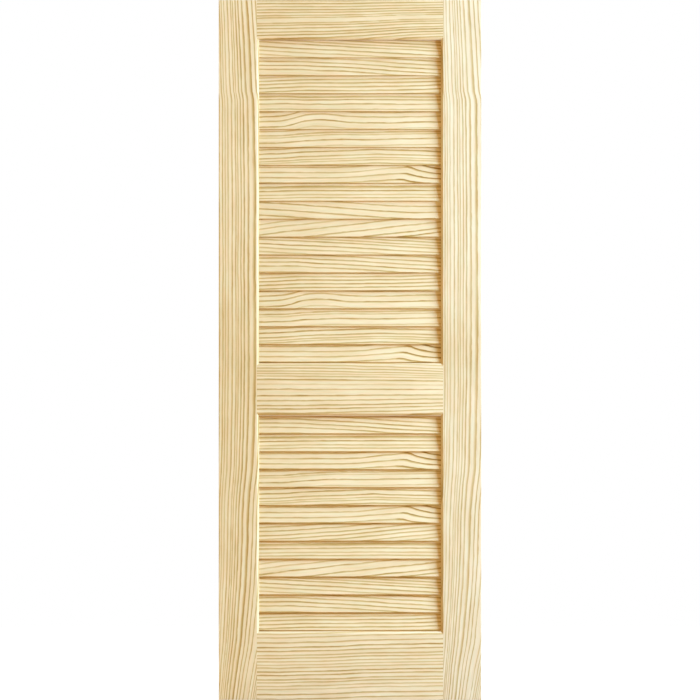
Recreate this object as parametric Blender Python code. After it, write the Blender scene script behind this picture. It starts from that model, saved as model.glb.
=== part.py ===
"""Interior louvred door leaf in clear pine.

Two stiles and three rails make the frame. Fluted hardwood dowels tie the rails to the
stiles, the rail ends are coped over the stiles' bevelled edges, and fixed slats stand
in housings cut into the stiles.

Metres, +Z up. The front face looks towards -Y, and the origin is the middle of the
bottom edge.
"""

import math

import bmesh
import bpy
from mathutils import Matrix

# Leaf
DOOR_WIDTH = 0.762
DOOR_HEIGHT = 2.032
DOOR_THICKNESS = 0.035

# Frame members, over their bevelled edges
STILE_WIDTH = 0.117
TOP_RAIL_WIDTH = 0.115
LOCK_RAIL_WIDTH = 0.1524
BOTTOM_RAIL_WIDTH = 0.199
LOWER_OPENING_HEIGHT = 0.6262

# Bevel along every edge that faces an opening, across the face and into the thickness
BEVEL_WIDTH = 0.0065
BEVEL_DEPTH = 0.006

# Upstand along the back of each rail below an opening, which hides the gap under the slats
UPSTAND_HEIGHT = 0.0022
UPSTAND_THICKNESS = 0.0105

# Slats, with eased edges, leaning back at the top
SLAT_WIDTH = 0.057
SLAT_THICKNESS = 0.0055
SLAT_EDGE_RADIUS = 0.0012
SLAT_LEAN = math.radians(10)
SLAT_PITCH = 0.052
SLAT_END_GAP = 0.0005
HOUSING_DEPTH = 0.0095
EDGE_STEPS = 3

# Fluted dowels across each shoulder, with room for glue past their ends
DOWEL_DIAMETER = 0.0127
DOWEL_LENGTH = 0.115
TOP_RAIL_DOWEL_COUNT = 2
LOCK_RAIL_DOWEL_COUNT = 2
BOTTOM_RAIL_DOWEL_COUNT = 3
DOWEL_FLUTES = 12
DOWEL_FLUTE_DEPTH = 0.0004
DOWEL_CHAMFER = 0.0015
DOWEL_EDGE_DISTANCE = 0.034
DOWEL_END_ROOM = 0.0015
BORE_SIDES = 16

# Space left between pieces that are glued or pressed together
GLUE_GAP = 0.0003
# How far a cutter stands proud of what it cuts
CUT_PROUD = 0.002
# Edges sharper than this stay crisp on round pieces
SHARP_ANGLE = math.radians(35)

PINE_COLOUR = (0.80, 0.64, 0.38, 1.0)
SLAT_COLOUR = (0.82, 0.67, 0.41, 1.0)
DOWEL_COLOUR = (0.66, 0.46, 0.28, 1.0)

HALF_WIDTH = DOOR_WIDTH / 2
HALF_THICKNESS = DOOR_THICKNESS / 2
SHOULDER = HALF_WIDTH - STILE_WIDTH
LOCK_RAIL_BOTTOM = BOTTOM_RAIL_WIDTH + LOWER_OPENING_HEIGHT
LOCK_RAIL_TOP = LOCK_RAIL_BOTTOM + LOCK_RAIL_WIDTH
TOP_RAIL_BOTTOM = DOOR_HEIGHT - TOP_RAIL_WIDTH
SIDES = {"left": -1, "right": 1}

# Each rail: bottom, top, open below, open above, and dowels in each end
RAILS = {
    "top_rail": (TOP_RAIL_BOTTOM, DOOR_HEIGHT, True, False, TOP_RAIL_DOWEL_COUNT),
    "lock_rail": (LOCK_RAIL_BOTTOM, LOCK_RAIL_TOP, True, True, LOCK_RAIL_DOWEL_COUNT),
    "bottom_rail": (0.0, BOTTOM_RAIL_WIDTH, False, True, BOTTOM_RAIL_DOWEL_COUNT),
}
OPENINGS = {
    "upper": (LOCK_RAIL_TOP, TOP_RAIL_BOTTOM),
    "lower": (BOTTOM_RAIL_WIDTH, LOCK_RAIL_BOTTOM),
}


def clear_scene():
    for obj in list(bpy.data.objects):
        bpy.data.objects.remove(obj, do_unlink=True)


def wood(name, colour, roughness):
    material = bpy.data.materials.new(name)
    material.use_nodes = True
    shader = material.node_tree.nodes["Principled BSDF"]
    shader.inputs["Base Color"].default_value = colour
    shader.inputs["Roughness"].default_value = roughness
    shader.inputs["Metallic"].default_value = 0.0
    return material


def mesh_from(name, shape, material=None, rounded=False):
    """Turns a bmesh into a mesh, shaded smooth where the piece is round."""
    bmesh.ops.recalc_face_normals(shape, faces=shape.faces)
    mesh = bpy.data.meshes.new(name)
    shape.to_mesh(mesh)
    shape.free()
    if rounded:
        mesh.shade_smooth()
        mesh.set_sharp_from_angle(angle=SHARP_ANGLE)
    if material:
        mesh.materials.append(material)
    return mesh


def place(name, mesh, parent=None, at=(0, 0, 0), lean=0.0):
    obj = bpy.data.objects.new(name, mesh)
    bpy.context.scene.collection.objects.link(obj)
    obj.location = at
    obj.rotation_euler.x = -lean
    obj.parent = parent
    return obj


def cutter(name, shape):
    obj = place(name, mesh_from(name, shape))
    obj.hide_render = True
    obj.display_type = "WIRE"
    return obj


def cut(obj, tool):
    modifier = obj.modifiers.new(tool.name, "BOOLEAN")
    modifier.operation = "DIFFERENCE"
    modifier.solver = "EXACT"
    modifier.object = tool


def extrude_outline(shape, points, along):
    """Adds a prism: a flat outline of points, pushed along a vector."""
    face = shape.faces.new([shape.verts.new(point) for point in points])
    pushed = bmesh.ops.extrude_face_region(shape, geom=[face], use_keep_orig=True)
    moved = [item for item in pushed["geom"] if isinstance(item, bmesh.types.BMVert)]
    bmesh.ops.translate(shape, verts=moved, vec=along)
    return [*face.verts, *moved]


def stile_outline(side):
    """Section of a stile, with both inner edges bevelled."""
    flat = SHOULDER + BEVEL_WIDTH
    land = HALF_THICKNESS - BEVEL_DEPTH
    half = [(HALF_WIDTH, HALF_THICKNESS), (flat, HALF_THICKNESS), (SHOULDER, land)]
    return mirrored_section(half, side)


def cope_outline(side):
    """Section of a stile with a glue gap added to its inner faces, for coping the rail ends."""
    slope = math.hypot(BEVEL_WIDTH, BEVEL_DEPTH)
    shoulder = SHOULDER - GLUE_GAP
    flat = SHOULDER + BEVEL_WIDTH - GLUE_GAP * slope / BEVEL_DEPTH
    land = HALF_THICKNESS - (flat - shoulder) * BEVEL_DEPTH / BEVEL_WIDTH
    past_face = HALF_THICKNESS + CUT_PROUD
    past_edge = HALF_WIDTH + CUT_PROUD
    half = [(past_edge, past_face), (flat, past_face), (flat, HALF_THICKNESS), (shoulder, land)]
    return mirrored_section(half, side)


def mirrored_section(half, side):
    """Closes the back half of an X-Y section with its front half, on the given side."""
    back = [(side * x, y) for x, y in half]
    front = [(side * x, -y) for x, y in reversed(half)]
    return back + front


def slat_outline(width, grow):
    """Section of an upright slat with eased edges, as Y and Z."""
    radius = SLAT_EDGE_RADIUS + grow
    half_y = SLAT_THICKNESS / 2 - SLAT_EDGE_RADIUS
    half_z = width / 2 - SLAT_EDGE_RADIUS
    corners = [(half_y, half_z), (-half_y, half_z), (-half_y, -half_z), (half_y, -half_z)]
    points = []
    for number, (y, z) in enumerate(corners):
        for step in range(EDGE_STEPS + 1):
            angle = math.pi / 2 * (number + step / EDGE_STEPS)
            points.append((y + radius * math.cos(angle), z + radius * math.sin(angle)))
    return points


def slat_places(bottom, top):
    """Centre height and width of each slat of an opening, from the top down. The slats show
    equal shares of the opening, so the top one is ripped narrower to fit under the rail."""
    count = round((top - bottom) / SLAT_PITCH)
    share = (top - SLAT_END_GAP - bottom - UPSTAND_HEIGHT) / count
    corner = 2 * SLAT_EDGE_RADIUS
    edge_rise = (SLAT_THICKNESS - corner) * math.sin(SLAT_LEAN) + corner
    top_width = (share - edge_rise) / math.cos(SLAT_LEAN) + corner
    places = []
    for number in range(count):
        width = SLAT_WIDTH if number else top_width
        rise = (width - corner) * math.cos(SLAT_LEAN) + edge_rise
        lower_edge = top - SLAT_END_GAP - share * (number + 1)
        places.append((lower_edge + rise / 2, width))
    return places


def dowel_heights(bottom, top, count):
    low = bottom + DOWEL_EDGE_DISTANCE
    high = top - DOWEL_EDGE_DISTANCE
    return [low + (high - low) * number / (count - 1) for number in range(count)]


def dowel_mesh(material):
    """A fluted pin along X with both ends chamfered."""
    shape = bmesh.new()
    radius = DOWEL_DIAMETER / 2
    body = DOWEL_LENGTH - 2 * DOWEL_CHAMFER
    points = []
    for number in range(2 * DOWEL_FLUTES):
        angle = math.pi * number / DOWEL_FLUTES
        reach = radius - DOWEL_FLUTE_DEPTH * (number % 2)
        points.append((-body / 2, reach * math.cos(angle), reach * math.sin(angle)))
    extrude_outline(shape, points, (body, 0, 0))
    ends = [face for face in shape.faces if len(face.verts) == len(points)]
    nose = (radius - DOWEL_CHAMFER) / radius
    for face in ends:
        outward = math.copysign(DOWEL_CHAMFER, face.calc_center_median().x)
        pushed = bmesh.ops.extrude_discrete_faces(shape, faces=[face])["faces"][0]
        bmesh.ops.translate(shape, verts=pushed.verts, vec=(outward, 0, 0))
        bmesh.ops.scale(shape, verts=pushed.verts, vec=(1, nose, nose))
    return mesh_from("dowel", shape, material, rounded=True)


def dowel_bores(side):
    """Cutter for all the dowel holes on one side of the door, in stile and rails alike."""
    shape = bmesh.new()
    length = DOWEL_LENGTH + 2 * DOWEL_END_ROOM
    radius = (DOWEL_DIAMETER / 2 + GLUE_GAP) / math.cos(math.pi / BORE_SIDES)
    for bottom, top, _, _, count in RAILS.values():
        for height in dowel_heights(bottom, top, count):
            across = Matrix.Rotation(math.pi / 2, 4, "Y")
            bmesh.ops.create_cone(
                shape,
                cap_ends=True,
                segments=BORE_SIDES,
                radius1=radius,
                radius2=radius,
                depth=length,
                matrix=Matrix.Translation((side * SHOULDER, 0, height)) @ across,
            )
    return shape


def slat_housings(side):
    """Cutter for all the slat housings in one stile."""
    shape = bmesh.new()
    mouth = side * (SHOULDER - CUT_PROUD)
    depth = side * (HOUSING_DEPTH + CUT_PROUD)
    for bottom, top in OPENINGS.values():
        for height, width in slat_places(bottom, top):
            outline = [(0, y, z) for y, z in slat_outline(width, GLUE_GAP)]
            verts = extrude_outline(shape, outline, (depth, 0, 0))
            lean = Matrix.Rotation(-SLAT_LEAN, 4, "X")
            seat = Matrix.Translation((mouth, 0, height)) @ lean
            bmesh.ops.transform(shape, matrix=seat, verts=verts)
    return shape


def build_stile(name, side, parent, material):
    shape = bmesh.new()
    points = [(x, y, 0) for x, y in stile_outline(side)]
    extrude_outline(shape, points, (0, 0, DOOR_HEIGHT))
    return place(name, mesh_from(name, shape, material), parent)


def build_cope(side):
    """Cutter that shapes the rail ends on one side of the door."""
    shape = bmesh.new()
    points = [(x, y, -CUT_PROUD) for x, y in cope_outline(side)]
    extrude_outline(shape, points, (0, 0, DOOR_HEIGHT + 2 * CUT_PROUD))
    return shape


def rail_edge(edge, flat, faces_opening):
    """Back half of a rail's long edge as Y and Z, from the edge to the flat of the face."""
    if not faces_opening:
        return [(HALF_THICKNESS, edge)]
    land = HALF_THICKNESS - BEVEL_DEPTH
    return [(land, edge), (HALF_THICKNESS, flat)]


def build_rail(name, bottom, top, open_below, open_above, parent, material):
    """A rail, bevelled where it faces an opening, long enough for its ends to be coped."""
    shape = bmesh.new()
    lower_edge = rail_edge(bottom, bottom + BEVEL_WIDTH, open_below)
    upper_edge = rail_edge(top, top - BEVEL_WIDTH, open_above)
    front = [(-y, z) for y, z in upper_edge + lower_edge[::-1]]
    back = lower_edge + upper_edge[::-1]
    if open_above:
        raised = top + UPSTAND_HEIGHT
        upstand = HALF_THICKNESS - BEVEL_DEPTH - UPSTAND_THICKNESS
        back = lower_edge + rail_edge(raised, raised - BEVEL_WIDTH, True)[::-1]
        back += [(upstand, raised), (upstand, top)]
    end = SHOULDER + BEVEL_WIDTH
    points = [(-end, y, z) for y, z in back + front]
    extrude_outline(shape, points, (2 * end, 0, 0))
    return place(name, mesh_from(name, shape, material), parent)


def slat_mesh(width, material):
    shape = bmesh.new()
    half_length = SHOULDER + HOUSING_DEPTH - GLUE_GAP
    points = [(-half_length, y, z) for y, z in slat_outline(width, 0.0)]
    extrude_outline(shape, points, (2 * half_length, 0, 0))
    return mesh_from("slat", shape, material, rounded=True)


def build_frame(parent, pine):
    """Stiles and rails, with their bores, housings and copes cut."""
    rails = {
        name: build_rail(name, *sizes[:4], parent, pine) for name, sizes in RAILS.items()
    }
    for side_name, side in SIDES.items():
        bores = cutter(side_name + "_dowel_bores", dowel_bores(side))
        housings = cutter(side_name + "_slat_housings", slat_housings(side))
        cope = cutter(side_name + "_cope", build_cope(side))
        stile = build_stile(side_name + "_stile", side, parent, pine)
        cut(stile, housings)
        cut(stile, bores)
        for rail in rails.values():
            cut(rail, cope)
            cut(rail, bores)


def build_dowels(parent, material):
    mesh = dowel_mesh(material)
    for rail, (bottom, top, _, _, count) in RAILS.items():
        for side_name, side in SIDES.items():
            for number, height in enumerate(dowel_heights(bottom, top, count), 1):
                name = f"{rail}_{side_name}_dowel_{number}"
                place(name, mesh, parent, (side * SHOULDER, 0, height))


def build_slats(parent, material):
    for opening, (bottom, top) in OPENINGS.items():
        for number, (height, width) in enumerate(slat_places(bottom, top), 1):
            name = f"{opening}_slat_{number:02d}"
            mesh = slat_mesh(width, material)
            place(name, mesh, parent, (0, 0, height), SLAT_LEAN)


def main():
    clear_scene()
    door = place("louvred_door", None)
    build_frame(door, wood("clear_pine", PINE_COLOUR, 0.55))
    build_slats(door, wood("slat_pine", SLAT_COLOUR, 0.55))
    build_dowels(door, wood("beech_dowel", DOWEL_COLOUR, 0.6))


main()
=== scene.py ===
import math
from bisect import bisect_right

import bmesh
import bpy
from mathutils import Matrix, Vector, noise


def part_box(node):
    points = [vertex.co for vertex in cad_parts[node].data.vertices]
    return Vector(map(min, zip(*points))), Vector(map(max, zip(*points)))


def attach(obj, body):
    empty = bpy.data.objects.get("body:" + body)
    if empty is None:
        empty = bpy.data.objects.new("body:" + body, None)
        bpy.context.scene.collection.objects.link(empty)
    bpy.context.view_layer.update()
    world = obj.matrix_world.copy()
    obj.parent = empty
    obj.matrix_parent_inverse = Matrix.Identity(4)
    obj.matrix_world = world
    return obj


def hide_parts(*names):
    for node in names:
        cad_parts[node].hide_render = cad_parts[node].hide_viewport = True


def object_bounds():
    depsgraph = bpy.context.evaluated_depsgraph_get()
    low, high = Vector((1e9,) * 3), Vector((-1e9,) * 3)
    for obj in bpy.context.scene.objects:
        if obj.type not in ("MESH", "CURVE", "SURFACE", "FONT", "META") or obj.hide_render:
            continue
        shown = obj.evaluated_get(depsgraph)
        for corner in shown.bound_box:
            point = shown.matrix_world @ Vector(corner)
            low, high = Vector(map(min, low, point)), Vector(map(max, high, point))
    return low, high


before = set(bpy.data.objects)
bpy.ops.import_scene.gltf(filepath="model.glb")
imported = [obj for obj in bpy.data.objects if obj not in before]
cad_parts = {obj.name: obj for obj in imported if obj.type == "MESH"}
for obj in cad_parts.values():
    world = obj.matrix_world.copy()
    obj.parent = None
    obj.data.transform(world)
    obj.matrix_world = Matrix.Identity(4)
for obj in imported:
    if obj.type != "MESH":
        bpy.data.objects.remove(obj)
cad_low, cad_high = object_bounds()

# Stiles: the two full-height side boards, planed from clear pine with their long
# arrises eased. The inner edges are bevelled on both faces, housed for the slats'
# ends and bored for the dowels of the rails.
MM = 0.001
DOOR_THICKNESS = cad_high.y - cad_low.y
STILE_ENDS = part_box("left_stile")
STILE_WIDTH = STILE_ENDS[1].x - STILE_ENDS[0].x
SHOULDER = -STILE_ENDS[1].x
BEVEL_WIDTH = 6.5 * MM
BEVEL_DEPTH = 6.0 * MM
ARRIS_RADIUS = 1.5 * MM
ARRIS_STEPS = 4
GRAIN_CELL = 3.5 * MM
GRAIN_STEP = 12.0 * MM
THICKNESS_CELLS = 6
HOUSING_GAP = 0.3 * MM
SLAT_THICKNESS = 5.5 * MM
SLAT_EDGE_RADIUS = 1.2 * MM
SLAT_EDGE_STEPS = 3
SLAT_LEAN = math.radians(10)
BORE_SIDES = 24
DOWEL_DIAMETER = 12.7 * MM
DOWEL_END_ROOM = 1.5 * MM
UPPER_SLAT_COUNT = 18
LOWER_SLAT_COUNT = 12
upper_slats = ["upper_slat_%02d" % number for number in range(1, UPPER_SLAT_COUNT + 1)]
lower_slats = ["lower_slat_%02d" % number for number in range(1, LOWER_SLAT_COUNT + 1)]
dowels = [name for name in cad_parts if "dowel" in name]


def even_stations(start, end, cell):
    """Places from start to end, about one cell apart."""
    cells = max(1, round((end - start) / cell))
    return [start + (end - start) * number / cells for number in range(cells + 1)]


def round_stations(radius, steps):
    """Distances from an edge at which a quarter round of this radius is cut into facets."""
    return [radius * (1 - math.cos(math.pi / 2 * step / steps)) for step in range(steps)]


def gridded_board(along, across, through):
    """A block of wood whose six sides are cut into rows of faces at the given stations."""
    shape = bmesh.new()
    bmesh.ops.create_cube(shape, size=1.0, matrix=Matrix.Translation((0.5, 0.5, 0.5)))
    stations_of = (along, across, through)
    for axis, stations in enumerate(stations_of):
        # Edges that run along an axis are still the block's full length when its turn comes.
        edges = [
            edge
            for edge in shape.edges
            if abs(edge.verts[0].co[axis] - edge.verts[1].co[axis]) > 0.5
        ]
        if len(stations) > 2:
            bmesh.ops.subdivide_edges(shape, edges=edges, cuts=len(stations) - 2)
    for vertex in shape.verts:
        for axis, stations in enumerate(stations_of):
            vertex.co[axis] = stations[round(vertex.co[axis] * (len(stations) - 1))]
    return shape


def eased(distance, radius):
    """How much a quarter round takes off the thickness at a distance from the arris."""
    inward = min(max(radius - distance, 0.0), radius)
    return radius - math.sqrt(radius * radius - inward * inward)


def bevelled(distance):
    """How much the bevel takes off the thickness at a distance from the inner edge."""
    return BEVEL_DEPTH * max(1 - distance / BEVEL_WIDTH, 0.0)


def stile_shape(side):
    """One stile: side is -1 for the left one and 1 for the right one."""
    edge = round_stations(ARRIS_RADIUS, ARRIS_STEPS)
    flat = even_stations(ARRIS_RADIUS, STILE_WIDTH - BEVEL_WIDTH, GRAIN_CELL)
    across = edge + flat + [STILE_WIDTH]
    height = cad_high.z
    along = edge + even_stations(ARRIS_RADIUS, height - ARRIS_RADIUS, GRAIN_STEP)
    along += [height - distance for distance in reversed(edge)]
    shape = gridded_board(along, across, even_stations(-0.5, 0.5, 1 / THICKNESS_CELLS))
    for vertex in shape.verts:
        up, inward, through = vertex.co
        end = min(up, height - up)
        rounded = max(eased(inward, ARRIS_RADIUS), eased(end, ARRIS_RADIUS))
        taken = max(rounded, bevelled(STILE_WIDTH - inward))
        outer = side * (SHOULDER + STILE_WIDTH)
        vertex.co = (outer - side * inward, through * (DOOR_THICKNESS - 2 * taken), up)
    bmesh.ops.recalc_face_normals(shape, faces=shape.faces)
    return shape


def slat_width(node):
    """A slat's width, from the height that it takes up as it leans."""
    low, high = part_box(node)
    corner = 2 * SLAT_EDGE_RADIUS
    edge_rise = (SLAT_THICKNESS - corner) * math.sin(SLAT_LEAN) + corner
    return (high.z - low.z - edge_rise) / math.cos(SLAT_LEAN) + corner


def slat_shape(width, length, grow):
    """A lath with eased edges, upright at the origin, grown by a little for its housing."""
    radius = SLAT_EDGE_RADIUS + grow
    width += 2 * grow
    edge = round_stations(radius, SLAT_EDGE_STEPS)
    flat = even_stations(radius, width - radius, GRAIN_CELL)
    across = edge + flat + [width - distance for distance in reversed(edge)]
    along = even_stations(-length / 2, length / 2, GRAIN_STEP)
    shape = gridded_board(along, across, [-0.5, 0.5])
    for vertex in shape.verts:
        place, up, through = vertex.co
        taken = eased(min(up, width - up), radius)
        vertex.co = (place, through * (SLAT_THICKNESS + 2 * grow - 2 * taken), up - width / 2)
    bmesh.ops.recalc_face_normals(shape, faces=shape.faces)
    return shape


def slat_seat(node):
    """Where a slat stands: its middle, with its lower edge leaning to the front."""
    low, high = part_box(node)
    return Matrix.Translation((low + high) / 2) @ Matrix.Rotation(-SLAT_LEAN, 4, "X")


def mesh_of(name, shape):
    """A mesh of a shape, which is then let go."""
    mesh = bpy.data.meshes.new(name)
    shape.to_mesh(mesh)
    shape.free()
    return mesh


def piece_of(name, mesh):
    """A piece in the scene with this mesh."""
    piece = bpy.data.objects.new(name, mesh)
    bpy.context.scene.collection.objects.link(piece)
    return piece


def cut_away(piece, name, shape):
    """Cuts a shape out of a piece for good."""
    tool = piece_of(name, mesh_of(name, shape))
    cut = piece.modifiers.new(name, "BOOLEAN")
    cut.operation = "DIFFERENCE"
    cut.solver = "EXACT"
    cut.object = tool
    bpy.context.view_layer.update()
    finished = piece.evaluated_get(bpy.context.evaluated_depsgraph_get())
    mesh = bpy.data.meshes.new_from_object(finished)
    piece.modifiers.clear()
    piece.data = mesh
    bpy.data.objects.remove(tool)


def dowel_bores(side):
    """All the dowel holes on one side of the door, which cross from the rails into the stile."""
    shape = bmesh.new()
    radius = (DOWEL_DIAMETER / 2 + HOUSING_GAP) / math.cos(math.pi / BORE_SIDES)
    for node in dowels:
        low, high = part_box(node)
        middle = (low + high) / 2
        if middle.x * side > 0:
            lying = Matrix.Translation(middle) @ Matrix.Rotation(math.pi / 2, 4, "Y")
            bmesh.ops.create_cone(
                shape,
                cap_ends=True,
                segments=BORE_SIDES,
                radius1=radius,
                radius2=radius,
                depth=high.x - low.x + 2 * DOWEL_END_ROOM,
                matrix=lying,
            )
    return shape


def slat_housings():
    """The slats grown by the glue gap, to cut the housings of both stiles."""
    shape = bmesh.new()
    for node in upper_slats + lower_slats:
        low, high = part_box(node)
        lath = slat_shape(slat_width(node), high.x - low.x + 2 * HOUSING_GAP, HOUSING_GAP)
        bmesh.ops.transform(lath, matrix=slat_seat(node), verts=lath.verts)
        grown = mesh_of(node + "_housing", lath)
        shape.from_mesh(grown)
        bpy.data.meshes.remove(grown)
    return shape


# The grain of a board: where its growth lines lie across it, in mm from its left or
# lower edge, how dark each is and, if unusual, over how many mm it darkens. They shift
# across by so many mm at each place along the board, fanning out or closing up. The pith
# is the tree's middle, in mm across and behind the face, and golden is the colour's change
# along the board. Bevels and edges carry painted light and shade, a tone of their own for
# how the lamps fall on them. The stiles' lines lean in from the top and out to the bottom.
LINE_BREADTH = 5.0
LONG_WANDER = 1.6
LONG_WANDER_ALONG = 230
LONG_WANDER_ACROSS = 60
LONG_WANDER_SEED = 7.1
SHORT_WANDER = 0.7
SHORT_WANDER_ALONG = 70
SHORT_WANDER_ACROSS = 25
SHORT_WANDER_SEED = 3.7
BOARD_SPACING = 3
FACE_FACING = 0.95
BEVEL_FACING = 0.5
stile_grain = {
    "lines": [
        (3, 0.7), (13, 0.8), (20, 0.45), (28, 0.5), (40, 0.8), (51, 0.75), (57, 0.5), (66, 0.8),
        (75, 1.0), (88, 0.85, 7), (107, 1.0, 11), (121, 1.0), (134, 0.9), (149, 0.9), (172, 0.7),
    ],
    "shift": [
        (0, -53), (100, -43), (163, -35), (226, -30), (354, -21), (450, -18), (546, -16), (610, -12),
        (673, -6), (737, -4), (929, 0), (1440, 0), (1568, -1), (1695, -2), (1738, -2.5), (1750, -4),
        (1764, -7), (1778, -8.2), (1887, -12.5), (2032, -20),
    ],
    "fan": (0.5, 1 / 150),
    "pith": (-90, -70),
    "golden": [
        (0, 0.16), (700, 0.18), (900, 0.26), (1020, 0.42), (1140, 0.24), (1300, 0.02), (2032, -0.08),
    ],
    # Painted shade: the bevels a little and the side edges much deeper, against the key lamp's glare.
    "bevel_light_and_shade": 0.25,
    "edge_painted_shade": 1.3,
}


def curve_at(points, along):
    """A smooth curve's height at a place along the board, from the points that it goes through."""
    last = len(points) - 2
    span = min(max(bisect_right([place for place, _ in points], along) - 1, 0), last)

    def slope(number):
        before = points[max(number - 1, 0)]
        after = points[min(number + 1, len(points) - 1)]
        return (after[1] - before[1]) / (after[0] - before[0])

    (start, low), (end, high) = points[span], points[span + 1]
    length = end - start
    part = min(max((along - start) / length, 0.0), 1.0)
    outside = along - start - part * length
    rest = 1 - part
    curve = low * rest * rest * (1 + 2 * part) + high * part * part * (3 - 2 * part)
    curve += length * part * rest * (rest * slope(span) - part * slope(span + 1))
    return curve + outside * slope(span if part < 0.5 else span + 1)


def line_at(lines, place):
    """Growth lines counted up to a place, with the darkness, spacing and breadth of the next."""
    first = lines[0][0]
    gap = (lines[-1][0] - first) / (len(lines) - 1)
    round_trip = lines[-1][0] - first + gap
    turns, rest = divmod(place - first, round_trip)
    number = bisect_right([line[0] - first for line in lines], rest) - 1
    last = lines[number]
    after = lines[(number + 1) % len(lines)]
    spacing = after[0] - last[0] if number + 1 < len(lines) else gap
    part = (rest + first - last[0]) / spacing
    darkness = last[1] * (1 - part) + after[1] * part
    breadth = after[2] if len(after) > 2 else LINE_BREADTH
    return turns * len(lines) + number + part, darkness, spacing, breadth


def show_grain(mesh, grain, seed, tone, board_place):
    """Writes on each vertex which growth line it is near, and on each face how golden it is,
    with painted light and shade on its bevels and edges.
    board_place gives a vertex's place in mm: along the board, across its face, and into it."""
    pith_across, pith_deep = grain["pith"]
    fan_low, fan_slope = grain["fan"]
    darker_from, darker_by = grain.get("darker", (0.0, 1.0))
    lag = grain.get("lag", 0.0)
    growth = []
    latewood = []
    for vertex in mesh.vertices:
        along, across, deep = board_place(vertex.co)
        # Growth rings lie round the pith, so each line runs on from the face down the edges.
        aside = across - pith_across
        across = pith_across + math.sqrt(max(aside * aside + deep * deep - 2 * deep * pith_deep, 0))
        place = (along / LONG_WANDER_ALONG, across / LONG_WANDER_ACROSS, seed * LONG_WANDER_SEED)
        across += LONG_WANDER * noise.noise(Vector(place))
        place = (along / SHORT_WANDER_ALONG, across / SHORT_WANDER_ACROSS, seed * SHORT_WANDER_SEED)
        across += SHORT_WANDER * noise.noise(Vector(place))
        reached = along - lag * across
        shift = curve_at(grain["shift"], reached)
        across = (across - shift * fan_low) / (1 + shift * fan_slope)
        ring, darkness, spacing, breadth = line_at(grain["lines"], across)
        darkness *= grain["strength"] * (darker_by if reached > darker_from else 1.0)
        growth += (ring, along * MM + seed * BOARD_SPACING, across)
        latewood += (darkness, spacing, breadth)
    tones = []
    for face in mesh.polygons:
        golden = curve_at(grain["golden"], board_place(face.center)[0])
        # Bevels and edges add a painted tone for how the lamps fall on them: painted shade where the
        # tone is above nought, painted light where it is below.
        facing = abs(face.normal.y)
        painted_tone = grain["bevel_light_and_shade" if facing > BEVEL_FACING else "edge_painted_shade"]
        tones.append(tone + golden + (0.0 if facing > FACE_FACING else painted_tone))
    mesh.attributes.new("growth", "FLOAT_VECTOR", "POINT")
    mesh.attributes.new("latewood", "FLOAT_VECTOR", "POINT")
    mesh.attributes.new("tone_with_painted_light", "FLOAT", "FACE")
    mesh.attributes["growth"].data.foreach_set("vector", growth)
    mesh.attributes["latewood"].data.foreach_set("vector", latewood)
    mesh.attributes["tone_with_painted_light"].data.foreach_set("value", tones)


# Sanded pine: pale earlywood, and tan latewood lines with a sharp outer edge and a little
# more gloss. Sanding leaves fine fibre streaks. Patterns are in waves to a metre along the
# grain, which the wood draws out, and to a millimetre across it.
RAGGED_ALONG = 28.0
RAGGED_ACROSS = 0.35
RAGGED_REACH = 0.16
SHARP_SIDE = 1.1
FADE_ALONG = 5.0
FADE_BETWEEN_LINES = 7.3
FIBRE_ALONG = 20.0
CLOUD_ALONG = 6.5
CLOUD_ACROSS = 0.05
CLOUD_TONE = 0.25
DEEPEST_TONE = 1.6
PATCH_ALONG = 12.0
PATCH_ACROSS = 0.1
PATCH_LAYER = 4.0
LATEWOOD_SMOOTHER = 0.12
RELIEF = 0.05 * MM


def colour(hex_value):
    """Linear colour of an sRGB hex value."""
    levels = [int(hex_value[place:place + 2], 16) / 255 for place in (1, 3, 5)]
    linear = [
        level / 12.92 if level <= 0.04045 else ((level + 0.055) / 1.055) ** 2.4 for level in levels
    ]
    return (*linear, 1.0)


def add_node(tree, kind, inputs, **settings):
    """Adds one node. inputs gives each socket a value or another node's output."""
    made = tree.nodes.new(kind)
    for setting, value in settings.items():
        setattr(made, setting, value)
    for socket, value in inputs.items():
        if isinstance(value, bpy.types.NodeSocket):
            tree.links.new(value, made.inputs[socket])
        else:
            made.inputs[socket].default_value = value
    return made


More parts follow.
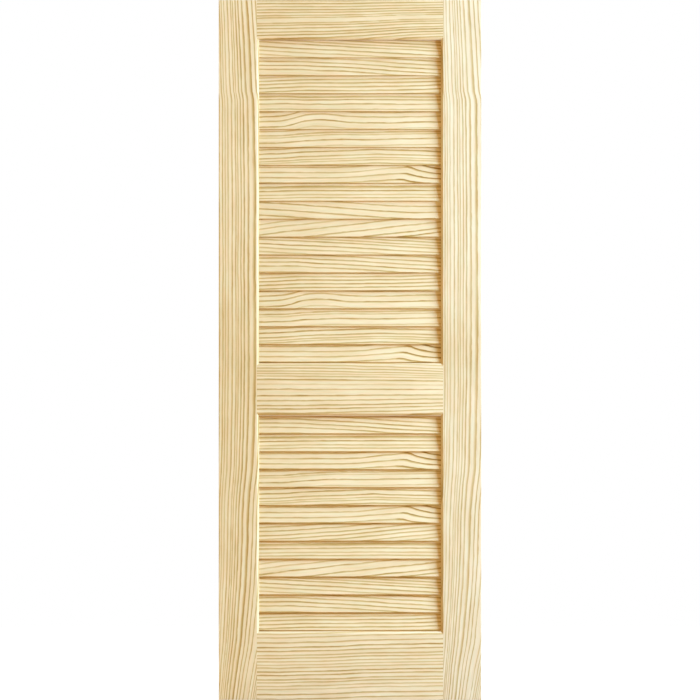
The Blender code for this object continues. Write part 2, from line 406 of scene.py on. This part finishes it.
def pine_material(name, pale, golden, latewood_filter, roughness):
    """Pine in the given colours, drawn by the growth lines that the mesh carries."""
    material = bpy.data.materials.new(name)
    material.use_nodes = True
    tree = material.node_tree
    shader = tree.nodes["Principled BSDF"]
    shader.inputs["IOR"].default_value = 1.5
    shader.inputs["Specular IOR Level"].default_value = 0.15

    growth = add_node(tree, "ShaderNodeAttribute", {}, attribute_name="growth")
    growth = add_node(tree, "ShaderNodeSeparateXYZ", {0: growth.outputs["Vector"]}).outputs
    latewood = add_node(tree, "ShaderNodeAttribute", {}, attribute_name="latewood")
    latewood = add_node(tree, "ShaderNodeSeparateXYZ", {0: latewood.outputs["Vector"]}).outputs
    tone = add_node(tree, "ShaderNodeAttribute", {}, attribute_name="tone_with_painted_light").outputs["Fac"]
    ring, along, across = growth
    darkness, spacing, breadth = latewood

    # Growth lines are ragged in waves of 36 mm by 3 mm, by a share of the space between them.
    along_ragged = add_node(tree, "ShaderNodeMath", {0: along, 1: RAGGED_ALONG}, operation="MULTIPLY")
    across_ragged = add_node(tree, "ShaderNodeMath", {0: across, 1: RAGGED_ACROSS}, operation="MULTIPLY")
    place = add_node(
        tree, "ShaderNodeCombineXYZ", {0: along_ragged.outputs[0], 1: across_ragged.outputs[0]}
    )
    ragged = add_node(
        tree, "ShaderNodeTexNoise", {"Vector": place.outputs[0], "Scale": 1.0, "Detail": 3.0}
    )
    ragged = add_node(
        tree,
        "ShaderNodeMapRange",
        {0: ragged.outputs["Fac"], 1: 0.0, 2: 1.0, 3: -RAGGED_REACH, 4: RAGGED_REACH},
    )
    ragged_ring = add_node(tree, "ShaderNodeMath", {0: ring, 1: ragged.outputs[0]}, operation="ADD")
    part = add_node(tree, "ShaderNodeMath", {0: ragged_ring.outputs[0]}, operation="FRACT")
    whole = add_node(tree, "ShaderNodeMath", {0: ragged_ring.outputs[0]}, operation="FLOOR")

    # Latewood darkens towards the line over its breadth, and stops sharply past it.
    left = add_node(tree, "ShaderNodeMath", {0: 1.0, 1: part.outputs[0]}, operation="SUBTRACT")
    before = add_node(tree, "ShaderNodeMath", {0: left.outputs[0], 1: spacing}, operation="MULTIPLY")
    past = add_node(tree, "ShaderNodeMath", {0: part.outputs[0], 1: spacing}, operation="MULTIPLY")
    darkening = add_node(
        tree,
        "ShaderNodeMapRange",
        {0: before.outputs[0], 1: 0.0, 2: breadth, 3: 1.0, 4: 0.0},
        interpolation_type="SMOOTHSTEP",
    )
    sharp_side = add_node(
        tree,
        "ShaderNodeMapRange",
        {0: past.outputs[0], 1: 0.0, 2: SHARP_SIDE, 3: 1.0, 4: 0.0},
    )
    line = add_node(
        tree,
        "ShaderNodeMath",
        {0: darkening.outputs[0], 1: sharp_side.outputs[0]},
        operation="MAXIMUM",
    )

    # Each line fades and strengthens by itself, over 20 cm of its length.
    along_fade = add_node(tree, "ShaderNodeMath", {0: along, 1: FADE_ALONG}, operation="MULTIPLY")
    own_fade = add_node(
        tree, "ShaderNodeMath", {0: whole.outputs[0], 1: FADE_BETWEEN_LINES}, operation="MULTIPLY"
    )
    place = add_node(
        tree, "ShaderNodeCombineXYZ", {0: along_fade.outputs[0], 1: own_fade.outputs[0]}
    )
    fade = add_node(
        tree, "ShaderNodeTexNoise", {"Vector": place.outputs[0], "Scale": 1.0, "Detail": 1.0}
    )
    fade = add_node(
        tree, "ShaderNodeMapRange", {0: fade.outputs["Fac"], 1: 0.3, 2: 0.7, 3: 0.55, 4: 0.95}
    )
    amount = add_node(
        tree, "ShaderNodeMath", {0: line.outputs[0], 1: darkness}, operation="MULTIPLY"
    )
    amount = add_node(
        tree, "ShaderNodeMath", {0: amount.outputs[0], 1: fade.outputs[0]}, operation="MULTIPLY"
    )

    # Fibre streaks are about 1 mm wide and 5 cm long.
    along_fibre = add_node(tree, "ShaderNodeMath", {0: along, 1: FIBRE_ALONG}, operation="MULTIPLY")
    place = add_node(tree, "ShaderNodeCombineXYZ", {0: along_fibre.outputs[0], 1: across})
    fibre = add_node(
        tree,
        "ShaderNodeTexNoise",
        {"Vector": place.outputs[0], "Scale": 1.0, "Detail": 4.0, "Roughness": 0.6},
    )

    # Heartwood is a little more golden than sapwood, in clouds of about 15 cm by 2 cm.
    along_cloud = add_node(tree, "ShaderNodeMath", {0: along, 1: CLOUD_ALONG}, operation="MULTIPLY")
    across_cloud = add_node(tree, "ShaderNodeMath", {0: across, 1: CLOUD_ACROSS}, operation="MULTIPLY")
    place = add_node(
        tree, "ShaderNodeCombineXYZ", {0: along_cloud.outputs[0], 1: across_cloud.outputs[0]}
    )
    cloud = add_node(
        tree, "ShaderNodeTexNoise", {"Vector": place.outputs[0], "Scale": 1.0, "Detail": 2.0}
    )
    warmth = add_node(
        tree,
        "ShaderNodeMapRange",
        {0: cloud.outputs["Fac"], 1: 0.3, 2: 0.7, 3: -CLOUD_TONE, 4: CLOUD_TONE},
    )
    # The face's tone brings in the painted light and shade of bevels and edges.
    warmth = add_node(tree, "ShaderNodeMath", {0: warmth.outputs[0], 1: tone}, operation="ADD")
    warmth = add_node(
        tree, "ShaderNodeClamp", {"Value": warmth.outputs[0], "Min": 0.0, "Max": DEEPEST_TONE}
    )
    earlywood = add_node(
        tree,
        "ShaderNodeMix",
        {"Factor": warmth.outputs[0], 6: colour(pale), 7: colour(golden)},
        data_type="RGBA",
        clamp_factor=False,
    )

    # Resin leaves some patches a little rosy and others a little green, of 8 cm by 1 cm.
    along_patch = add_node(tree, "ShaderNodeMath", {0: along, 1: PATCH_ALONG}, operation="MULTIPLY")
    across_patch = add_node(tree, "ShaderNodeMath", {0: across, 1: PATCH_ACROSS}, operation="MULTIPLY")
    place = add_node(
        tree,
        "ShaderNodeCombineXYZ",
        {0: along_patch.outputs[0], 1: across_patch.outputs[0], 2: PATCH_LAYER},
    )
    patch = add_node(
        tree, "ShaderNodeTexNoise", {"Vector": place.outputs[0], "Scale": 1.0, "Detail": 2.0}
    )
    patch = add_node(tree, "ShaderNodeMapRange", {0: patch.outputs["Fac"], 1: 0.3, 2: 0.7})
    tint = add_node(
        tree,
        "ShaderNodeMix",
        {"Factor": patch.outputs[0], 6: colour("#fafffb"), 7: colour("#fff9f2")},
        data_type="RGBA",
    )
    earlywood = add_node(
        tree,
        "ShaderNodeMix",
        {"Factor": 1.0, 6: earlywood.outputs[2], 7: tint.outputs[2]},
        data_type="RGBA",
        blend_type="MULTIPLY",
    )

    # Latewood takes its colour out of the light once more for each step of darkness.
    filtered = {}
    for channel, passed in enumerate(colour(latewood_filter)[:3]):
        power = add_node(tree, "ShaderNodeMath", {0: passed, 1: amount.outputs[0]}, operation="POWER")
        filtered[channel] = power.outputs[0]
    filtered = add_node(tree, "ShaderNodeCombineXYZ", filtered)
    wood = add_node(
        tree,
        "ShaderNodeMix",
        {"Factor": 1.0, 6: earlywood.outputs[2], 7: filtered.outputs[0]},
        data_type="RGBA",
        blend_type="MULTIPLY",
    )
    streak = add_node(
        tree,
        "ShaderNodeMapRange",
        {0: fibre.outputs["Fac"], 1: 0.25, 2: 0.75, 3: 0.91, 4: 1.09},
    )
    wood = add_node(
        tree,
        "ShaderNodeMix",
        {"Factor": 1.0, 6: wood.outputs[2], 7: streak.outputs[0]},
        data_type="RGBA",
        blend_type="MULTIPLY",
    )
    tree.links.new(wood.outputs[2], shader.inputs["Base Color"])

    # Latewood is denser, so sanding leaves it smoother and standing a little higher.
    gloss = add_node(
        tree,
        "ShaderNodeMapRange",
        {0: amount.outputs[0], 1: 0.0, 2: 1.0, 3: roughness, 4: roughness - LATEWOOD_SMOOTHER},
    )
    tree.links.new(gloss.outputs[0], shader.inputs["Roughness"])
    relief = add_node(
        tree, "ShaderNodeMath", {0: amount.outputs[0], 1: fibre.outputs["Fac"]}, operation="ADD"
    )
    bump = add_node(
        tree,
        "ShaderNodeBump",
        {"Strength": 0.35, "Distance": RELIEF, "Height": relief.outputs[0]},
    )
    tree.links.new(bump.outputs[0], shader.inputs["Normal"])
    return material


# Sapwood, from near the bark, is less golden and its lines are fainter. Sawn ends are open
# grain, which is deeper in colour and duller than a sanded face.
SANDED_ROUGHNESS = 0.6
SAWN_ROUGHNESS = 0.75
sanded_pine = pine_material("sanded_clear_pine", "#fee8c0", "#e9cc98", "#bca36d", SANDED_ROUGHNESS)
sanded_sapwood = pine_material("sanded_pine_sapwood", "#fbe8c6", "#e6cb9c", "#bfa674", SANDED_ROUGHNESS)
sawn_end_pine = pine_material("sawn_end_pine", "#dcbd88", "#cfa968", "#a58d62", SAWN_ROUGHNESS)
END_FACING = 0.9
ALONG_X = 0
ALONG_Z = 2


def finish_board(piece, node, wood, long_axis):
    """Gives a board its two kinds of surface and puts it in the place of its CAD node."""
    piece.data.materials.append(wood)
    piece.data.materials.append(sawn_end_pine)
    for face in piece.data.polygons:
        face.material_index = 1 if abs(face.normal[long_axis]) > END_FACING else 0
    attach(piece, "root")
    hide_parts(node)


FIRST_STILE_SEED = 1
stile_sides = {"left_stile": -1, "right_stile": 1}
stile_strength = {"left_stile": 1.1, "right_stile": 0.94}
stile_tones = {"left_stile": 0.24, "right_stile": 0.22}
stile_woods = {"left_stile": sanded_pine, "right_stile": sanded_sapwood}
for seed, (node, side) in enumerate(stile_sides.items(), FIRST_STILE_SEED):
    stile = piece_of(node + "_board", mesh_of(node + "_board", stile_shape(side)))
    cut_away(stile, node + "_housings", slat_housings())
    cut_away(stile, node + "_bores", dowel_bores(side))
    left_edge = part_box(node)[0].x

    def stile_place(point):
        return point.z / MM, (point.x - left_edge) / MM, (point.y - cad_low.y) / MM

    grain = dict(stile_grain, strength=stile_strength[node])
    show_grain(stile.data, grain, seed, stile_tones[node], stile_place)
    finish_board(stile, node, stile_woods[node], ALONG_Z)

# Rails: the three boards across the door, of the same pine, with the grain lying. Their
# edges are bevelled where they face an opening, their ends are coped over the stiles'
# bevels, and each end is glued to its stile on dowels.
GLUE_LINE = 0.1 * MM
UPSTAND_HEIGHT = 2.2 * MM
UPSTAND_FRONT = 1.0 * MM
STEP_BREADTH = 0.0001
FIRST_RAIL_SEED = 3
rail_edges = {"top_rail": (True, False), "lock_rail": (True, True), "bottom_rail": (False, True)}
rail_tones = {"top_rail": 0.45, "lock_rail": 0.35, "bottom_rail": 0.3}
rail_grain = {
    "top_rail": {
        "lines": [
            (3, 0.7), (13, 0.75), (21, 0.5), (32, 0.65), (41, 0.6), (47, 0.45), (64, 0.65), (70, 0.45),
            (79, 0.6), (87, 0.5), (96, 0.55), (105, 0.65), (114, 0.5),
        ],
        "shift": [
            (12, 0), (70, 1), (128, 3), (186, 4), (244, 6), (302, 9), (360, 13), (418, 17), (476, 19),
        ],
        "fan": (1.1, -0.0085),
        "pith": (-120, -60),
        "strength": 1.48,
        "golden": [(0, 0.0), (528, 0.0)],
        # Painted light: the bevel under the top rail is painted paler where it faces down out of the
        # light, and the edges carry painted shade.
        "bevel_light_and_shade": -0.4,
        "edge_painted_shade": 0.4,
    },
    "lock_rail": {
        "lines": [
            (-3, 0.6), (9, 0.75), (21, 1.0), (31, 0.9), (45, 0.75), (59, 0.9), (78, 0.85), (93, 0.2),
            (107, 1.05, 7), (117, 0.5), (124, 0.45), (131, 0.65), (140, 0.65), (149, 0.5),
        ],
        "shift": [(12, 0), (128, 0), (186, 1), (244, 2), (302, 4), (360, 5), (418, 7), (476, 9)],
        "fan": (1.0, -0.0145),
        "pith": (-100, -80),
        "strength": 1.13,
        "golden": [(0, 0.14), (264, 0.02), (528, -0.05)],
        # Painted shade on the bevels and edges.
        "bevel_light_and_shade": 0.2,
        "edge_painted_shade": 0.4,
    },
    "bottom_rail": {
        "lines": [
            (-10, 0.8), (3, 0.8), (16, 0.85), (31, 0.45), (40, 0.55), (51, 0.75), (59, 0.8), (72, 0.95),
            (82, 1.1), (94, 0.5), (102, 0.45), (111, 0.6), (121, 0.75), (129, 0.6), (141, 0.95),
            (152, 1.15), (166, 0.7), (181, 0.6), (192, 0.5),
        ],
        "shift": [
            (12, 0), (70, 0), (128, 2), (186, 3), (244, 5), (302, 8), (360, 9), (418, 10), (476, 11),
        ],
        "fan": (1.0, 0.0),
        "pith": (-110, -70),
        "strength": 1.04,
        "golden": [(0, 0.0), (528, 0.0)],
        # Painted shade on the bevels and edges.
        "bevel_light_and_shade": 0.2,
        "edge_painted_shade": 0.4,
    },
}


def rail_shape(bottom, top, open_below, open_above):
    """A rail between two heights, bevelled where it faces an opening and eased where not. Below
    an opening its back stands up behind the slats."""
    width = top - bottom
    edge = round_stations(ARRIS_RADIUS, ARRIS_STEPS)
    low_edge = [0.0, BEVEL_WIDTH] if open_below else edge + [ARRIS_RADIUS]
    high_edge = [0.0, BEVEL_WIDTH] if open_above else edge + [ARRIS_RADIUS]
    across = low_edge[:-1] + even_stations(low_edge[-1], width - high_edge[-1], GRAIN_CELL)
    across += [width - distance for distance in reversed(high_edge[:-1])]
    along = even_stations(-1.0, 1.0, GRAIN_STEP / SHOULDER)
    # Two stations, STEP_BREADTH of the thickness apart, make the upstand's front a step.
    step = UPSTAND_FRONT / (DOOR_THICKNESS - 2 * BEVEL_DEPTH)
    through_stations = even_stations(-0.5, step, 1 / THICKNESS_CELLS)
    through_stations += even_stations(step + STEP_BREADTH, 0.5, 1 / THICKNESS_CELLS)
    shape = gridded_board(along, across, through_stations)
    for vertex in shape.verts:
        place, up, through = vertex.co
        below = bevelled(up) if open_below else eased(up, ARRIS_RADIUS)
        above = bevelled(width - up) if open_above else eased(width - up, ARRIS_RADIUS)
        deep = through * (DOOR_THICKNESS - 2 * max(below, above))
        cope = BEVEL_WIDTH * max(abs(deep) - DOOR_THICKNESS / 2 + BEVEL_DEPTH, 0) / BEVEL_DEPTH
        behind_step = through > step + STEP_BREADTH / 2
        stands_up = open_above and behind_step and width - up < BEVEL_WIDTH + GLUE_LINE
        raised = UPSTAND_HEIGHT if stands_up else 0.0
        vertex.co = (place * (SHOULDER + cope - GLUE_LINE), deep, bottom + up + raised)
    bmesh.ops.recalc_face_normals(shape, faces=shape.faces)
    return shape


for seed, (node, (open_below, open_above)) in enumerate(rail_edges.items(), FIRST_RAIL_SEED):
    low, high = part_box(node)
    top = high.z - UPSTAND_HEIGHT if open_above else high.z
    shape = rail_shape(low.z, top, open_below, open_above)
    rail = piece_of(node + "_board", mesh_of(node + "_board", shape))
    for side in stile_sides.values():
        cut_away(rail, node + "_bores", dowel_bores(side))

    def rail_place(point):
        return (point.x + SHOULDER) / MM, (point.z - low.z) / MM, (point.y - cad_low.y) / MM

    show_grain(rail.data, rail_grain[node], seed, rail_tones[node], rail_place)
    finish_board(rail, node, sanded_pine, ALONG_X)

# Slats: 18 laths in the upper opening and 12 in the lower one, moulded with eased edges
# from pine strips. Each leans out at its lower edge, laps the slat below, and is glued
# into the stiles' housings. Strips ripped from one board show the same figure.
SLAT_TONE = 0.53
SLAT_STRENGTH = 1.2
SLAT_SMOOTH_ANGLE = math.radians(35)
FIRST_SLAT_SEED = 11

# A figure is its growth lines and how far they rise at even steps along the slat. Two
# figures turn too sharply for that, so they give the places too.
slat_figures = {
    "falling": ([(3, 0.4), (20, 0.75), (32, 0.85), (44, 0.85), (56, 0.7), (68, 0.9)],
                (0, 0, -1, -4, -6, -9, -13, -17, -20, -23)),
    "straight": ([(-5, 0.45), (6, 0.85), (17, 0.8), (28, 0.8), (38, 0.65), (48, 0.45)],
                 (0, 2, 4, 4, 4, 4, 5, 5, 6, 8)),
    "plain": ([(7, 0.55), (23, 0.8), (36, 0.8), (45, 0.6, 7), (54, 0.6)],
              (0, 1, -1, -1, -1, 0, 0, 0, 0, 0)),
    "crest": ([(-12, 0.25), (6, 1.0), (23, 0.7), (37, 0.9), (50, 0.6)], ()),
    "rising": ([(-4, 0.3), (14, 0.95), (29, 0.4), (35, 0.8), (48, 0.6)],
               (0, 1, 6, 9, 11, 10, 10, 11, 12, 13)),
    "arch": ([(-6, 0.75), (5, 0.45), (11, 0.5), (20, 0.8), (34, 1.0), (47, 0.7)],
             (0, 2, 6, 8, 9, 11, 13, 12, 11, 9)),
    "swirl": ([(2, 0.6), (17, 0.6), (32, 0.65), (47, 0.7), (62, 0.9)], ()),
    "banded": ([(-2, 0.35), (11, 0.65), (20, 0.45), (32, 0.95), (45, 0.75, 10)],
               (-2, -1, 0, 0, 0, 0, 0, 0, 0, 0)),
    "sparse": ([(11, 0.75), (29, 0.8), (48, 0.8), (66, 0.8)],
               (0, -3, -7, -11, -15, -19, -23, -26, -28, -28)),
    "diagonal": ([(-43, 1.1), (-31, 0.95), (-12, 0.65), (9, 0.75), (26, 0.5), (40, 0.4)],
                 (0, 7, 12, 18, 25, 30, 36, 42, 47, 53)),
    "sloping": ([(10, 0.45), (22, 0.5), (34, 0.9), (47, 0.8), (55, 0.55), (64, 0.9), (73, 0.7)],
                (0, -3, -6, -9, -11, -14, -17, -20, -23, -26)),
    "climbing": ([(-28, 0.6), (-17, 0.55), (-5, 0.65), (6, 0.75), (17, 0.75), (30, 0.8), (42, 0.7)],
                 (0, 2, 5, 9, 12, 17, 22, 27, 32, 37)),
}
FIGURE_START = 23.0
FIGURE_STEP = 52.25
figure_turns = {
    "crest": [
        (8, 0), (40, 1), (69, 3), (95, 8.5), (124, 17), (153, 21.5), (182, 22.3), (214, 20.5),
        (246, 17), (284, 15), (336, 14), (389, 14), (441, 16), (493, 17),
    ],
    "swirl": [
        (23, 0), (75, 0), (127, 0), (180, 0), (232, 1), (284, 3), (323, 7), (350, 9), (365, 10),
        (385, 12), (398, 13), (408, 13), (418, 10.5), (431, 7), (445, 4), (458, 2), (480, -1), (510, -3),
    ],
}

# The swirl's lines spread as they rise, turn later the higher they lie, and are darker
# past the turn.
SWIRL_FAN = (0.67, 0.019)
SWIRL_LAG = 0.58
SWIRL_DARK_FROM = 400.0
SWIRL_DARKNESS = 2.2
upper_figures = [
    "sloping", "falling", "straight", "plain", "crest", "rising", "arch", "swirl", "banded",
    "sparse", "diagonal", "sloping", "falling", "straight", "crest", "rising", "arch", "swirl",
]
lower_figures = [
    "falling", "banded", "swirl", "rising", "arch", "swirl",
    "climbing", "banded", "diagonal", "sloping", "falling", "straight",
]
all_figures = upper_figures + lower_figures
for seed, (node, figure) in enumerate(zip(upper_slats + lower_slats, all_figures), FIRST_SLAT_SEED):
    low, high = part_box(node)
    width = slat_width(node)
    slat = piece_of(node + "_lath", mesh_of(node + "_lath", slat_shape(width, high.x - low.x, 0.0)))

    def slat_place(point):
        across = point.z + width / 2
        return (point.x + SHOULDER) / MM, across / MM, (point.y + SLAT_THICKNESS / 2) / MM

    lines, rises = slat_figures[figure]
    steps = [(FIGURE_START + FIGURE_STEP * number, rise) for number, rise in enumerate(rises)]
    # The slats are painted a little paler to the right, painted light on the side of the key lamp.
    grain = {
        "lines": lines,
        "shift": steps or figure_turns[figure],
        "fan": (1.0, 0.0),
        "pith": (-120, -40),
        "strength": SLAT_STRENGTH,
        "golden": [(0, 0.06), (528, -0.1)],
        # Painted shade: the slats' rounded arrises and narrow edges are painted deeper, so a dark line
        # shows where each slat laps the next.
        "bevel_light_and_shade": 0.9,
        "edge_painted_shade": 1.4,
    }
    if figure == "swirl":
        grain["fan"] = SWIRL_FAN
        grain["lag"] = SWIRL_LAG
        grain["darker"] = (SWIRL_DARK_FROM, SWIRL_DARKNESS)
    show_grain(slat.data, grain, seed, SLAT_TONE, slat_place)
    slat.data.transform(slat_seat(node))
    slat.data.shade_smooth()
    slat.data.set_sharp_from_angle(angle=SLAT_SMOOTH_ANGLE)
    finish_board(slat, node, sanded_pine, ALONG_X)

# Dowels: fluted beech pins, glued half into a rail and half into a stile, so that the
# finished door hides them. Beech shows fine flecks along its grain, 17 mm by 1 mm.
FLECKS_PER_METRE = (60.0, 900.0, 900.0)
beech = bpy.data.materials.new("fluted_beech")
beech.use_nodes = True
beech_shader = beech.node_tree.nodes["Principled BSDF"]
beech_shader.inputs["Roughness"].default_value = 0.65
place = add_node(beech.node_tree, "ShaderNodeTexCoord", {})
drawn_out = add_node(
    beech.node_tree,
    "ShaderNodeMapping",
    {"Vector": place.outputs["Object"], "Scale": FLECKS_PER_METRE},
)
fleck = add_node(
    beech.node_tree, "ShaderNodeTexNoise", {"Vector": drawn_out.outputs[0], "Scale": 1.0, "Detail": 3.0}
)
beech_colour = add_node(
    beech.node_tree,
    "ShaderNodeMix",
    {"Factor": fleck.outputs["Fac"], 6: colour("#c99f74"), 7: colour("#e0bd92")},
    data_type="RGBA",
)
beech.node_tree.links.new(beech_colour.outputs[2], beech_shader.inputs["Base Color"])
for node in dowels:
    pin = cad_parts[node]
    for slot in pin.material_slots:
        slot.material = beech

# Studio: a pale floor, white round about, a cool soft key light from the right and a
# weaker one higher up, each with its twin behind, and a warm fill from all round.
FLOOR_RADIUS = 6.0
FLOOR_SIDES = 96
SHADOW_RADIUS = 2.5
SHADOW_SHOWN = 0.12
FLOOR_GLOW = 1.04
FLOOR_BOUNCE = (0.40, 0.215, 0.065)
FILL_COLOUR = (0.68, 0.505, 0.262)
KEY_COLOUR = (0.406, 0.640, 1.0)
KEY_POWER = 545.0
KEY_PLACE = (4.24, -2.25, 2.2)
KEY_SIZE = (2.3, 0.9)
HIGH_COLOUR = (0.216, 0.53, 1.0)
HIGH_POWER = 305.0
HIGH_PLACE = (4.89, -2.60, 5.2)
HIGH_SIZE = (3.2, 2.5)
LAMP_AIM = (0, 0, -3.0)


def looked_at(tree):
    """1 for rays that show a surface, and 0 for those that gather light from it."""
    path = add_node(tree, "ShaderNodeLightPath", {}).outputs
    seen = path["Is Camera Ray"]
    for kind in ("Is Glossy Ray", "Is Transmission Ray"):
        seen = add_node(tree, "ShaderNodeMath", {0: seen, 1: path[kind]}, operation="MAXIMUM").outputs[0]
    return seen


# The eye sees a white floor with a faint shadow, and the door is lit by a duller, warmer one.
floor_shape = bmesh.new()
bmesh.ops.create_circle(floor_shape, cap_ends=True, segments=FLOOR_SIDES, radius=FLOOR_RADIUS)
floor = piece_of("floor", mesh_of("floor", floor_shape))
floor_paint = bpy.data.materials.new("matt_floor_paint")
floor_paint.use_nodes = True
tree = floor_paint.node_tree
tree.nodes.clear()
place = add_node(tree, "ShaderNodeTexCoord", {})
away = add_node(tree, "ShaderNodeVectorMath", {0: place.outputs["Object"]}, operation="LENGTH")
shown = add_node(
    tree,
    "ShaderNodeMapRange",
    {0: away.outputs["Value"], 1: SHADOW_RADIUS, 2: FLOOR_RADIUS, 3: SHADOW_SHOWN, 4: 0.0},
)
white = add_node(tree, "ShaderNodeEmission", {"Color": colour("#ffffff"), "Strength": FLOOR_GLOW})
shaded = add_node(tree, "ShaderNodeBsdfDiffuse", {"Color": colour("#ffffff")})
pale = add_node(
    tree,
    "ShaderNodeMixShader",
    {0: shown.outputs[0], 1: white.outputs[0], 2: shaded.outputs[0]},
)
dull = add_node(tree, "ShaderNodeBsdfDiffuse", {"Color": (*FLOOR_BOUNCE, 1.0)})
paint = add_node(
    tree,
    "ShaderNodeMixShader",
    {0: looked_at(tree), 1: dull.outputs[0], 2: pale.outputs[0]},
)
add_node(tree, "ShaderNodeOutputMaterial", {"Surface": paint.outputs[0]})
floor.data.materials.append(floor_paint)

# The eye sees white all round, and the door is lit by the warm fill.
world = bpy.data.worlds.new("studio")
bpy.context.scene.world = world
world.use_nodes = True
tree = world.node_tree
tree.nodes.clear()
fill = add_node(tree, "ShaderNodeBackground", {"Color": (*FILL_COLOUR, 1.0), "Strength": 1.0})
white = add_node(tree, "ShaderNodeBackground", {"Color": colour("#ffffff"), "Strength": 1.0})
sky = add_node(
    tree,
    "ShaderNodeMixShader",
    {0: looked_at(tree), 1: fill.outputs[0], 2: white.outputs[0]},
)
add_node(tree, "ShaderNodeOutputWorld", {"Surface": sky.outputs[0]})


def soft_lamp(name, place, size, power, tint):
    """A soft box that lights the door without a glare of its own. It is tipped down past the
    door's foot, which gives the foot its share of the light."""
    lamp = bpy.data.lights.new(name, "AREA")
    lamp.shape = "RECTANGLE"
    lamp.size, lamp.size_y = size
    lamp.energy = power
    lamp.color = tint
    stand = bpy.data.objects.new(name, lamp)
    stand.location = place
    stand.visible_glossy = False
    stand.rotation_euler = (Vector(LAMP_AIM) - stand.location).to_track_quat("-Z", "Y").to_euler()
    bpy.context.scene.collection.objects.link(stand)


for side, turn in (("front", Vector((1, 1, 1))), ("back", Vector((-1, -1, 1)))):
    soft_lamp("key_" + side, turn * Vector(KEY_PLACE), KEY_SIZE, KEY_POWER, KEY_COLOUR)
    soft_lamp("high_" + side, turn * Vector(HIGH_PLACE), HIGH_SIZE, HIGH_POWER, HIGH_COLOUR)

# Camera: straight on at the door's mid-height, as far off as makes the door fill the
# picture's height.
LENS = 400.0
SENSOR = 36.0
camera_data = bpy.data.cameras.new("camera")
camera_data.lens = LENS
camera_data.sensor_width = SENSOR
camera = bpy.data.objects.new("camera", camera_data)
camera.location = (0, cad_low.y - cad_high.z * LENS / SENSOR, cad_high.z / 2)
camera.rotation_euler = (math.pi / 2, 0, 0)
bpy.context.scene.collection.objects.link(camera)
bpy.context.scene.camera = camera
bpy.context.scene.view_settings.view_transform = "Standard"
